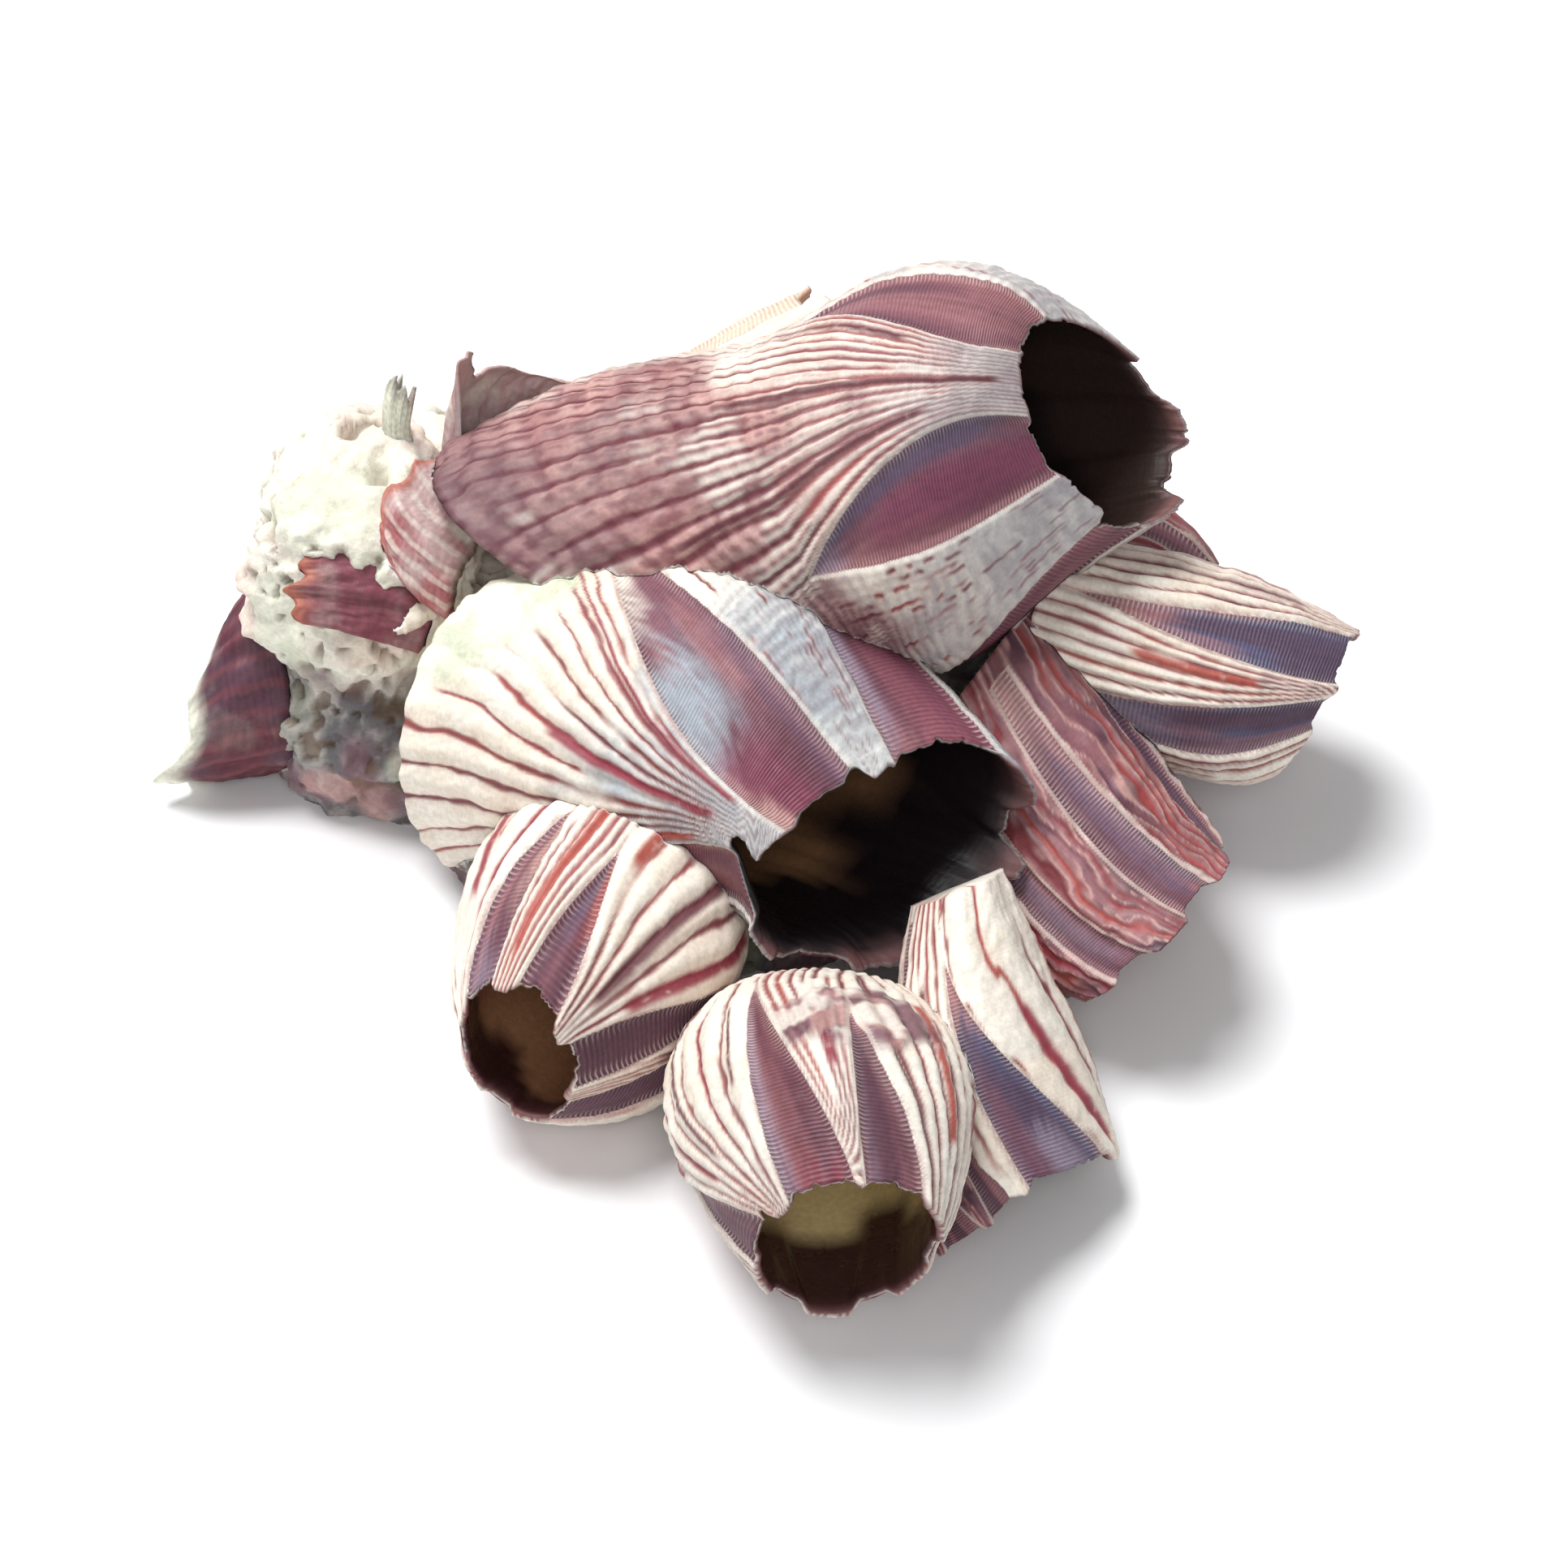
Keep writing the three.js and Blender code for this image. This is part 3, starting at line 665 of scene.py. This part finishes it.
def strip_colours(piece, angle, t, f):
    """Mauve strips with indigo, pale or crimson streaks along them."""
    look, seed = piece["look"], piece["seed"]
    across, which = f["across"], f["which"]
    tone = look.get("strip", MAUVE) + np.zeros(angle.shape + (3,))
    hue = noise(across * 4 + which * 5, f["along"] / 16, seed + 10)
    tone = mix(tone, PLUM, 0.55 * smooth(hue, 0.0, 0.5))
    tone = mix(tone, ROSE, 0.45 * smooth(-hue, 0.0, 0.5))
    tone = mix(tone, PINK, 0.4 * smooth(0.35 - t, 0, 0.3))
    for strip, centre, half, start, end, colour, strength in piece["streaks"]:
        soft = 0.05 * f["wobble"] + 0.04 * noise(angle / 2, f["along"] / 3, seed + 22, 180)
        body = np.exp(-(((across - centre) / half) ** 4))
        ends = smooth(t + soft, start - 0.08, start + 0.08) * smooth(end - t + soft, -0.08, 0.08)
        tone = mix(tone, colour, body * ends * strength * (which == strip))
    fibre = 1 + 0.1 * noise(across * 24 + which * 31, f["along"] / 20, seed + 23)
    return tone * fibre[..., None]


def skin(piece, angle, t):
    """The outside of a shell: points and what the material reads at them."""
    look, seed = piece["look"], piece["seed"]
    inside, across, which, s, plate, width = strip_fields(piece, angle, t)
    strip = smooth(inside, -3.5, 3.5)
    scale = 1 + unevenness(piece, angle, t) - SUNK * strip * (0.3 + 0.7 * t)
    bump = bump_height(piece, angle, t)
    smooth_point, radius = form_point(piece, angle, t, scale, bump)
    per_degree = radius * math.pi / 180
    along = length_along(piece, t)
    wavy = look.get("wavy", 0)
    wobble = noise(angle / 12, along / 7, seed + 1, 30)
    wobble = wobble + 0.4 * noise(angle / 4, along / 2.5, seed + 2, 90)
    u = s * look["lines"] + (0.14 + 0.6 * wavy) * wobble + 0.5
    off = np.abs(u - np.floor(u) - 0.5)
    f = dict(across=across, which=which, along=along, wobble=wobble, per_degree=per_degree, u=u, off=off)
    f["key"] = (np.floor(u) + 37 * plate).astype(int) % 512
    f["speckled"] = np.isin(plate, look.get("speckled", ()))
    f["s"], f["plate"], f["width"] = s, plate, width
    f["spacing"] = width * per_degree / look["lines"]
    f["off_mm"] = off * f["spacing"]
    f["point"] = smooth_point
    tone, line = plate_colours(piece, angle, t, f)
    weft = strip_colours(piece, angle, t, f)
    growth = noise(angle / 6, along * 1.1, seed + 5, 60) * 0.07
    growth = growth + noise(angle / 20, along * 0.45, seed + 6, 18) * 0.16
    rough = noise(angle / 1.3, along * 2.2, seed + 7, 277) * 0.04
    ribs = look["ribs"] * np.minimum(1, f["spacing"] / 2.4) * np.where(f["speckled"], 0.45, 1)
    height = (1 - strip) * (ribs * (0.5 - np.cos(2 * math.pi * off)) - 0.1 * line + growth + rough)
    height = height + f["speckled"] * (1 - strip) * 0.1 * np.sin(along * 3 + 3 * wobble)
    height = height + strip * 0.4 * growth
    if "old" in look:
        rings = 0.13 * np.sin(along * 2 * math.pi / 1.7 + 2.5 * wobble)
        height = height + rings * smooth(look["old"] + 0.1 - t, -0.1, 0.1)
    if "mottle" in look:
        crust = patch_share(look["mottle"], angle, t, wobble)
        height = height + crust * (0.7 * cloud3(smooth_point, 5.0, seed + 24) + 0.3)
    depth = np.clip(inside * per_degree, -3, 3)
    height = height + 0.1 * np.exp(-(((depth + 0.4) / 0.4) ** 2)) * smooth(t, 0.15, 0.4)
    point, _ = form_point(piece, angle, t, scale, bump + height)
    grain = 1 + 0.05 * noise(angle * 1.1, along * 2.1, seed + 13, 396)
    depth = np.where(t < 0.04, -3, depth)
    tone = tone * grain[..., None]
    return dict(point=point, tone=tone, weft=weft, depth=depth, along=along, inner=np.zeros_like(t))


def lining(piece, angle, t, inset):
    """The inside of a shell."""
    seed = piece["seed"]
    deep, floor = piece["look"]["inside"]
    inside = strip_fields(piece, angle, t)[0]
    sunk = SUNK * smooth(inside, -3.5, 3.5) * (0.3 + 0.7 * t)
    sunk = sunk * (0.4 + 0.6 * smooth(t, 0.6, 0.95))
    scale = 1 + unevenness(piece, angle, t) - sunk
    along = length_along(piece, t)
    lumps = 0.08 * noise(angle / 12, along / 6, seed + 20, 30) * smooth(1 - t, 0, 0.1)
    point, _ = form_point(piece, angle, t, scale, bump_height(piece, angle, t) - inset + lumps)
    # Deeper down the lining takes the floor colour; where that is TAN or STRAW it is partly the real tan and
    # partly painted light for light shining through the wall.
    low = smooth(0.74 - t + 0.12 * noise(angle / 30, along / 12, seed + 21, 12), 0, 0.06)
    tone = mix(deep + 0 * point, floor, low)
    tone = mix(tone, ROSE, 0.45 * smooth(t, 0.955, 1.0))
    inner = 1 - smooth(t, 0.9, 0.99)
    return dict(point=point, tone=tone, weft=tone, depth=0 * t - 3, along=along, inner=inner)


# Meshes.
def closed_mesh(name, parts):
    """A closed mesh over rings of points, with a fan to the middle of the first and last ring."""
    rings = [part["point"] for part in parts]
    rows, count = len(rings), len(rings[0])
    points = np.vstack([np.concatenate(rings), [rings[0].mean(0)], [rings[-1].mean(0)]])
    a = (np.arange(rows - 1)[:, None] * count + np.arange(count)[None, :]).ravel()
    b = (np.arange(rows - 1)[:, None] * count + (np.arange(count)[None, :] + 1) % count).ravel()
    quads = np.stack([a, b, b + count, a + count], 1)
    i = np.arange(count)
    j, top = (i + 1) % count, (rows - 1) * count
    fans = np.concatenate(
        [np.stack([0 * i + rows * count, j, i], 1), np.stack([0 * i + rows * count + 1, top + i, top + j], 1)]
    )
    middle = points[: rows * count].mean(0)
    p = points[quads[:, :3]] - middle
    if np.einsum("ij,ij->", p[:, 0], np.cross(p[:, 1], p[:, 2])) < 0:
        quads, fans = quads[:, ::-1], fans[:, ::-1]
    mesh = bpy.data.meshes.new(name)
    mesh.from_pydata((points * MM).tolist(), [], quads.tolist() + fans.tolist())

    def spread(key):
        values = [part[key] for part in parts]
        return np.concatenate([np.concatenate(values), values[0][:1], values[-1][:1]])

    write_fields(mesh, {key: spread(key) for key in ("tone", "weft", "depth", "along", "inner")})
    mesh.polygons.foreach_set("use_smooth", np.ones(len(mesh.polygons), bool))
    mesh.update()
    thing = bpy.data.objects.new(name, mesh)
    bpy.context.scene.collection.objects.link(thing)
    return thing


def write_fields(mesh, fields):
    """Stores what the material reads as point attributes."""
    for key, values in fields.items():
        colour = values.ndim == 2
        kind = "FLOAT_COLOR" if colour else "FLOAT"
        layer = mesh.attributes.get(key) or mesh.attributes.new(key, kind, "POINT")
        if colour:
            values = np.concatenate([np.clip(values, 0, 1), np.ones((len(values), 1))], 1)
        layer.data.foreach_set("color" if colour else "value", values.astype(np.float32).ravel())


def plain(point, tone=PLUM, along=0.0):
    """A ring of points with one look."""
    zero = np.zeros(len(point))
    tone = tone + np.zeros((len(point), 3))
    return dict(point=point, tone=tone, weft=tone, depth=zero - 3, along=zero + along, inner=zero)


def shell_mesh(name, piece):
    columns, rows = piece["grid"]
    angle = np.arange(columns) * 360 / columns
    edge = rim_share(piece, angle)
    parts = [skin(piece, angle, edge * i / (rows - 1)) for i in range(rows)]
    insets = [(0.998, RIM * 0.6), (0.99, RIM)]
    insets += [(1 - k, RIM + (WALL - RIM) * min(1, k / 0.2)) for k in (0.03, 0.06, 0.1, 0.15, 0.22, 0.3)]
    insets += [(k, WALL) for k in (0.6, 0.5, 0.42, 0.34, 0.26)]
    insets += [(FLOOR + 0.04, WALL + 0.5), (FLOOR, WALL + 1.6)]
    for share, inset in insets:
        level = edge + (edge.mean() - edge) * smooth(np.array(1 - share), 0.02, 0.3)
        parts.append(lining(piece, angle, level * share, inset))
    last = parts[-1]
    centre = last["point"].mean(0)
    parts += [dict(last, point=centre + (last["point"] - centre) * step) for step in (0.75, 0.5, 0.25)]
    return closed_mesh(name, parts)


def room_mesh(name, piece):
    """The whole space a shell takes up, cavity included, grown by the gap."""
    angle = np.arange(150) * 2.4
    edge = rim_share(piece, angle)
    rings = []
    for share in np.linspace(0, 1, 44):
        point = skin(piece, angle, edge * share)["point"]
        out = point - point.mean(0)
        rings.append(point + GAP * out / np.linalg.norm(out, axis=1)[:, None])
    for end, ring in ((0, piece["base"]), (-1, piece["mouth"])):
        outward = np.cross(ring[1], ring[2]) / np.linalg.norm(np.cross(ring[1], ring[2]))
        away = np.dot(outward, np.array(ring[0]) - np.array(piece["belly"][0]))
        moved = rings[end] + outward * math.copysign(0.4, away)
        rings = [moved] + rings if end == 0 else rings + [moved]
    return closed_mesh(name, [plain(ring) for ring in rings])


def shard_mesh(name, piece, grown=0.0):
    columns, rows = (40, 20) if grown else (110, 30)
    seed = piece["seed"]
    parts = []
    main, second, lines = piece["colours"]
    for share in np.linspace(0, 1, columns):
        angle = piece["span"][0] - 8 * grown + (piece["span"][1] - piece["span"][0] + 16 * grown) * share
        tear = math.sin(9.1 * share + seed) + math.sin(23 * share + 2 * seed)
        length = 1 - piece["torn"] * (1 + 0.5 * tear) - 0.3 * piece["torn"] * abs(2 * share - 1)
        jag = 0.0 if grown else 0.025 * float(noise(np.array(angle / 12.0), np.array(0.5), seed + 1))
        t = np.linspace(-0.1 * grown, length + jag + 0.1 * grown, rows)
        t = np.concatenate([t, t[::-1]])
        back = np.arange(2 * rows) >= rows
        a = np.full(2 * rows, float(angle))
        along = t * 22
        ridge = noise(a / 9, along / 5, seed + 2) * 0.5 + noise(a / 2.6, along * 0.8, seed + 3) * 0.16
        small = min(1, np.linalg.norm(piece["belly"][1]) / 5)
        ridge = ridge * (0 if grown else small)
        taper = 1 - 0.75 * smooth(t, 0.4 * length, length)
        out = np.where(back, -WALL * 0.9 * (taper if not grown else 1) - grown, grown) + ridge
        point, radius = form_point(piece, a, t, np.ones_like(t), out)
        streak = smooth(np.sin(a * 0.4 + 2.5 * cloud3(point, 8.0, seed + 4)), 0.2, 0.8)
        blotch = smooth(cloud3(point, 8.0, seed + 5), -0.3, 0.4)
        tone = mix(mix(main + 0 * point, second, blotch), lines, 0.45 * streak)
        tone = mix(tone, CREAM, piece["pale"] * smooth(cloud3(point, 4.0, seed + 6), -0.1, 0.6))
        tone = mix(tone, piece["tip"] + 0 * point, smooth(t / length, 0.82, 1.0))
        rings = 1 + 0.12 * np.sin(along * 4 + 3 * noise(a / 12, along / 4, seed + 7))
        tone = mix(tone, BRICK, 0.35 * smooth(share + 0 * t, 0.85, 1.0) * piece["pale"])
        # The inner face gets the outer colours at 0.85 as painted shade; the outer face gets growth rings.
        tone = tone * np.where(back, 0.85, rings)[:, None]
        parts.append(dict(point=point, tone=tone, weft=tone, depth=0 * t - 3, along=along, inner=0 * t))
    return closed_mesh(name, parts)


def growth_mesh(name):
    """The lumps melted into one crusty, pitted mass."""
    solids = []
    for middle, size in LUMPS:
        polar = np.linspace(0.04, math.pi - 0.04, 60)
        around = np.linspace(0, 2 * math.pi, 90, endpoint=False)
        v, u = np.meshgrid(polar, around, indexing="ij")
        way = np.stack([np.sin(v) * np.cos(u), np.sin(v) * np.sin(u), np.cos(v)], -1)
        blunt = (np.abs(way) ** BLUNT).sum(-1) ** (-1 / BLUNT)
        swell = 1 + 0.06 * np.sin(4 * way[..., 0] + middle[0]) * np.sin(4 * way[..., 1] + middle[1])
        swell = swell + 0.04 * np.sin(7 * way[..., 2])
        rings = np.array(middle) + way * (blunt * swell)[..., None] * np.array(size)
        solids.append(closed_mesh("lump", [plain(ring) for ring in rings]))
    first = solids[0]
    for other in solids[1:]:
        join = first.modifiers.new("join", "BOOLEAN")
        join.operation, join.solver, join.object = "UNION", "MANIFOLD", other
    even = first.modifiers.new("even", "REMESH")
    even.mode, even.voxel_size = "VOXEL", VOXEL * MM
    mesh = bpy.data.meshes.new_from_object(first.evaluated_get(bpy.context.evaluated_depsgraph_get()))
    for thing in solids:
        bpy.data.objects.remove(thing)
    count = len(mesh.vertices)
    flat = np.zeros(count * 3)
    mesh.vertices.foreach_get("co", flat)
    p = flat.reshape(-1, 3) / MM
    normal = np.zeros(count * 3)
    mesh.vertices.foreach_get("normal", normal)
    n = normal.reshape(-1, 3)
    cells = ((9, 31), (3.6, 32), (1.5, 33), (0.8, 30))
    big, mid, small, tiny = (noise3(p / size, seed) for size, seed in cells)
    chunk = smooth(p[:, 2] + 0.35 * p[:, 1] - 0.2 * p[:, 0] + 2.5 * mid + 3 * big, 35, 40)
    sheet = noise3(p / [7, 7, 3], 34) + 0.3 * small
    flakes = (np.floor(4 * sheet) + smooth(4 * sheet - np.floor(4 * sheet), 0.7, 1.0)) / 4
    pits = smooth(noise3(p / 1.3, 35) + 0.4 * noise3(p / 5, 36), 0.3, 0.6)
    holes = smooth(noise3(p / 4.2, 37), 0.5, 0.75)
    smear = 0.8 * smooth(noise3(p / 8 + 3, 40), 0.25, 0.5)
    rough = 1 - 0.75 * smear
    crumbs = (0.35 * small + 0.2 * tiny + 1.1 * flakes - 0.8 * pits) * rough
    out = big + 0.6 * mid + crumbs - 1.8 * holes * chunk
    p = p + n * (out - 0.4)[:, None]
    mesh.vertices.foreach_set("co", (p * MM).ravel())
    stain = noise3(p / 5.5, 38)
    tone = mix(CHALK + 0 * p, CREAM, smooth(mid, -0.3, 0.5))
    tone = mix(tone, PINK, 0.3 * smooth(noise3(p / 7, 39), 0.1, 0.6))
    tone = mix(tone, SAGE, 0.6 * smear)
    lower = mix(SLATE + 0 * p, ASH, smooth(cloud3(p, 2.5, 41), -0.3, 0.35))
    lower = mix(lower, DUSK, 0.65 * smooth(stain, 0.0, 0.45))
    lower = mix(lower, SAGE, 0.45 * smooth(-stain, 0.1, 0.6))
    lower = mix(lower, PINK, 0.5 * smooth(noise3(p / 6 + 7, 42), 0.15, 0.5))
    tone = mix(lower, tone, chunk)
    # Pits and holes are mixed towards brown and darkened to 0.7: partly the growth's own brown, partly
    # painted shade in the recesses.
    hollow_brown_and_shade = smooth(pits * rough + holes, 0.2, 1.0)
    tone = mix(tone, UMBER, 0.5 * hollow_brown_and_shade)
    tone = tone * (1 - 0.3 * hollow_brown_and_shade)[:, None]
    zero = np.zeros(count)
    write_fields(mesh, dict(tone=tone, weft=tone, depth=zero - 3, along=p[:, 2], inner=zero))
    mesh.polygons.foreach_set("use_smooth", np.ones(len(mesh.polygons), bool))
    thing = bpy.data.objects.new(name, mesh)
    bpy.context.scene.collection.objects.link(thing)
    return thing


def largest_part(mesh):
    """Drops every loose bit of a mesh but the largest."""
    count = len(mesh.vertices)
    edges = np.zeros(len(mesh.edges) * 2, np.int64)
    mesh.edges.foreach_get("vertices", edges)
    a, b = edges.reshape(-1, 2).T
    label = np.arange(count)
    while True:
        low = np.minimum(label[a], label[b])
        fresh = label.copy()
        np.minimum.at(fresh, a, low)
        np.minimum.at(fresh, b, low)
        fresh = fresh[fresh]
        fresh = fresh[fresh]
        if (fresh == label).all():
            break
        label = fresh
    names, sizes = np.unique(label, return_counts=True)
    if len(names) == 1:
        return
    work = bmesh.new()
    work.from_mesh(mesh)
    work.verts.ensure_lookup_table()
    drop = np.nonzero(label != names[sizes.argmax()])[0]
    bmesh.ops.delete(work, geom=[work.verts[int(i)] for i in drop], context="VERTS")
    work.to_mesh(mesh)
    work.free()


def box_of(thing):
    flat = np.zeros(len(thing.data.vertices) * 3)
    thing.data.vertices.foreach_get("co", flat)
    points = flat.reshape(-1, 3)
    return points.min(0), points.max(0)


def cut(thing, rooms):
    """Takes the rooms that a piece reaches into out of it."""
    low, high = box_of(thing)
    for room in rooms:
        a, b = box_of(room)
        if (a < high).all() and (b > low).all():
            bite = thing.modifiers.new("cut", "BOOLEAN")
            bite.operation, bite.solver, bite.object = "DIFFERENCE", "MANIFOLD", room
    mesh = bpy.data.meshes.new_from_object(thing.evaluated_get(bpy.context.evaluated_depsgraph_get()))
    thing.modifiers.clear()
    thing.data = mesh
    largest_part(mesh)


# Materials.
def node(tree, kind, inputs=(), **settings):
    made = tree.nodes.new(kind)
    for key, value in settings.items():
        setattr(made, key, value)
    for key, value in dict(inputs).items():
        if isinstance(value, bpy.types.NodeSocket):
            tree.links.new(value, made.inputs[key])
        else:
            made.inputs[key].default_value = value
    return made


def dry_shell(name, gloss, chalky=0.0):
    """Plates and strips parted by a toothed pale edge, cross lines in the strips, grain, uneven gloss."""
    material = bpy.data.materials.new(name)
    material.use_nodes = True
    tree = material.node_tree
    shader = tree.nodes["Principled BSDF"]

    def value(key, output="Fac"):
        return node(tree, "ShaderNodeAttribute", attribute_name=key).outputs[output]

    def sums(operation, *parts):
        return node(tree, "ShaderNodeMath", dict(enumerate(parts)), operation=operation).outputs[0]

    def step(what, low, high, to_low=0.0, to_high=1.0):
        inputs = {"Value": what, "From Min": low, "From Max": high, "To Min": to_low, "To Max": to_high}
        return node(tree, "ShaderNodeMapRange", inputs, interpolation_type="SMOOTHSTEP").outputs[0]

    def blend(share, first, second):
        made = node(tree, "ShaderNodeMix", {0: share}, data_type="RGBA")
        for socket, colour in ((6, first), (7, second)):
            if isinstance(colour, bpy.types.NodeSocket):
                tree.links.new(colour, made.inputs[socket])
            else:
                made.inputs[socket].default_value = (*colour, 1)
        return made.outputs[2]

    tone, weft = value("tone", "Color"), value("weft", "Color")
    depth, along, inner = value("depth"), value("along"), value("inner")
    place = node(tree, "ShaderNodeTexCoord").outputs["Object"]

    def cloudy(scale, detail):
        inputs = {"Vector": place, "Scale": scale, "Detail": detail, "Roughness": 0.6}
        return node(tree, "ShaderNodeTexNoise", inputs).outputs["Fac"]

    grain, cloud, drift = cloudy(1500.0, 6.0), cloudy(160.0, 4.0), cloudy(420.0, 2.0)
    wave = sums("SINE", sums("MULTIPLY_ADD", along, 2 * math.pi / STRIATION, sums("MULTIPLY", drift, 3.5)))
    toothed = sums("MULTIPLY_ADD", wave, 0.05, depth)
    within = step(toothed, -0.08, 0.08)
    edge = sums("MULTIPLY", step(toothed, -0.6, -0.3), sums("SUBTRACT", 1.0, within))
    hatch = sums("MULTIPLY", step(wave, 0.0, 0.9), step(toothed, 1.6, 0.05))
    hatch = sums("MULTIPLY", hatch, sums("MULTIPLY", within, step(cloud, 0.35, 0.65, 0.08, 0.3)))
    colour = blend(sums("MULTIPLY", edge, 0.4), tone, CREAM)
    colour = blend(within, colour, weft)
    colour = blend(hatch, colour, CREAM)
    lines = sums("MULTIPLY", wave, step(within, 0.0, 1.0, 0.06, 1.0))
    lines = sums("MULTIPLY", lines, step(drift, 0.3, 0.7, 0.5, 1.3))
    shade = sums("MULTIPLY", step(lines, -1.2, 1.2, 0.8, 1.14), step(grain, 0.3, 0.7, 0.88, 1.06))
    lit = node(tree, "ShaderNodeVectorMath", {0: colour, "Scale": shade}, operation="SCALE").outputs[0]
    tree.links.new(lit, shader.inputs["Base Color"])
    rough = sums("MULTIPLY", step(cloud, 0.3, 0.7, gloss, gloss + 0.22), step(inner, 0.0, 1.0, 1.0, 0.5))
    tree.links.new(rough, shader.inputs["Roughness"])
    raised = sums("MULTIPLY_ADD", grain, 0.5 + chalky, sums("MULTIPLY", lines, 0.8))
    inputs = {"Height": raised, "Strength": 0.5, "Distance": 0.0001}
    bump = node(tree, "ShaderNodeBump", inputs).outputs["Normal"]
    tree.links.new(bump, shader.inputs["Normal"])
    shader.inputs["Specular IOR Level"].default_value = 0.35
    return material


MATERIALS = {
    "striped_shell": dry_shell("striped_shell", 0.45),
    "mauve_shell": dry_shell("mauve_shell", 0.42),
    "broken_shell": dry_shell("broken_shell", 0.5, 0.5),
    "old_growth": dry_shell("old_growth", 0.7, 2.5),
}


def finish_piece(thing, slot):
    thing.data.materials.clear()
    thing.data.materials.append(MATERIALS[slot])
    name = thing.name
    thing.name = thing.data.name = name
    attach(thing, "root")
    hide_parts(name.removesuffix("_look"))


# The pieces, each cut by the ones that it has grown against.
def slab():
    """Everything below the flat underside."""
    ring = np.array([[-200, -200], [200, -200], [200, 200], [-200, 200]])
    levels = [np.column_stack([ring, np.full(4, z)]) for z in (-60.0, 0.02)]
    return closed_mesh("slab", [plain(level, CHALK * 0.6) for level in levels])


rooms = [slab()]
for name, piece in SHELLS.items():
    made = shell_mesh(name + "_look", piece)
    cut(made, rooms)
    finish_piece(made, piece["slot"])
    rooms.append(room_mesh(name + "_room", piece))
for name, piece in SHARDS.items():
    made = shard_mesh(name + "_look", piece)
    cut(made, rooms)
    finish_piece(made, "broken_shell")
    rooms.append(shard_mesh(name + "_room", piece, GAP))
growth = growth_mesh("old_growth_look")
cut(growth, rooms)
finish_piece(growth, "old_growth")
for room in rooms:
    bpy.data.objects.remove(room)


# Floor, lights, camera.
def floor():
    bpy.ops.mesh.primitive_plane_add(size=6, location=(0, 0, 0))
    plane = bpy.context.object
    plane.name = "floor"
    material = bpy.data.materials.new("paper")
    material.use_nodes = True
    shader = material.node_tree.nodes["Principled BSDF"]
    shader.inputs["Base Color"].default_value = (0.93, 0.935, 0.95, 1)
    shader.inputs["Roughness"].default_value = 0.9
    shader.inputs["Specular IOR Level"].default_value = 0.1
    plane.data.materials.append(material)


def area(name, place, target, size, power, colour=(1, 1, 1)):
    data = bpy.data.lights.new(name, "AREA")
    data.shape, data.size, data.energy, data.color = "DISK", size, power, colour
    lamp = bpy.data.objects.new(name, data)
    lamp.location = place
    way = np.array(target) - np.array(place)
    lamp.rotation_euler = Vector(way).to_track_quat("-Z", "Y").to_euler()
    bpy.context.scene.collection.objects.link(lamp)


floor()
area("key", (-0.26, 0.2, 0.78), (0, 0, 0.02), 0.5, 8.6)
area("fill", (0.05, -0.6, 0.6), (0, 0, 0.02), 0.4, 1.6)
world = bpy.data.worlds.new("studio")
world.use_nodes = True
world.node_tree.nodes["Background"].inputs["Color"].default_value = (1, 1, 1, 1)
world.node_tree.nodes["Background"].inputs["Strength"].default_value = 0.3
bpy.context.scene.world = world
bpy.context.scene.view_settings.view_transform = "Standard"

lens = bpy.data.cameras.new("camera")
lens.lens = 99.4
camera = bpy.data.objects.new("camera", lens)
tilt, distance, aim = math.radians(45), 0.48, 0.026
camera.location = (0, -distance * math.cos(tilt), aim + distance * math.sin(tilt))
camera.rotation_euler = (tilt, 0, 0)
bpy.context.scene.collection.objects.link(camera)
bpy.context.scene.camera = camera
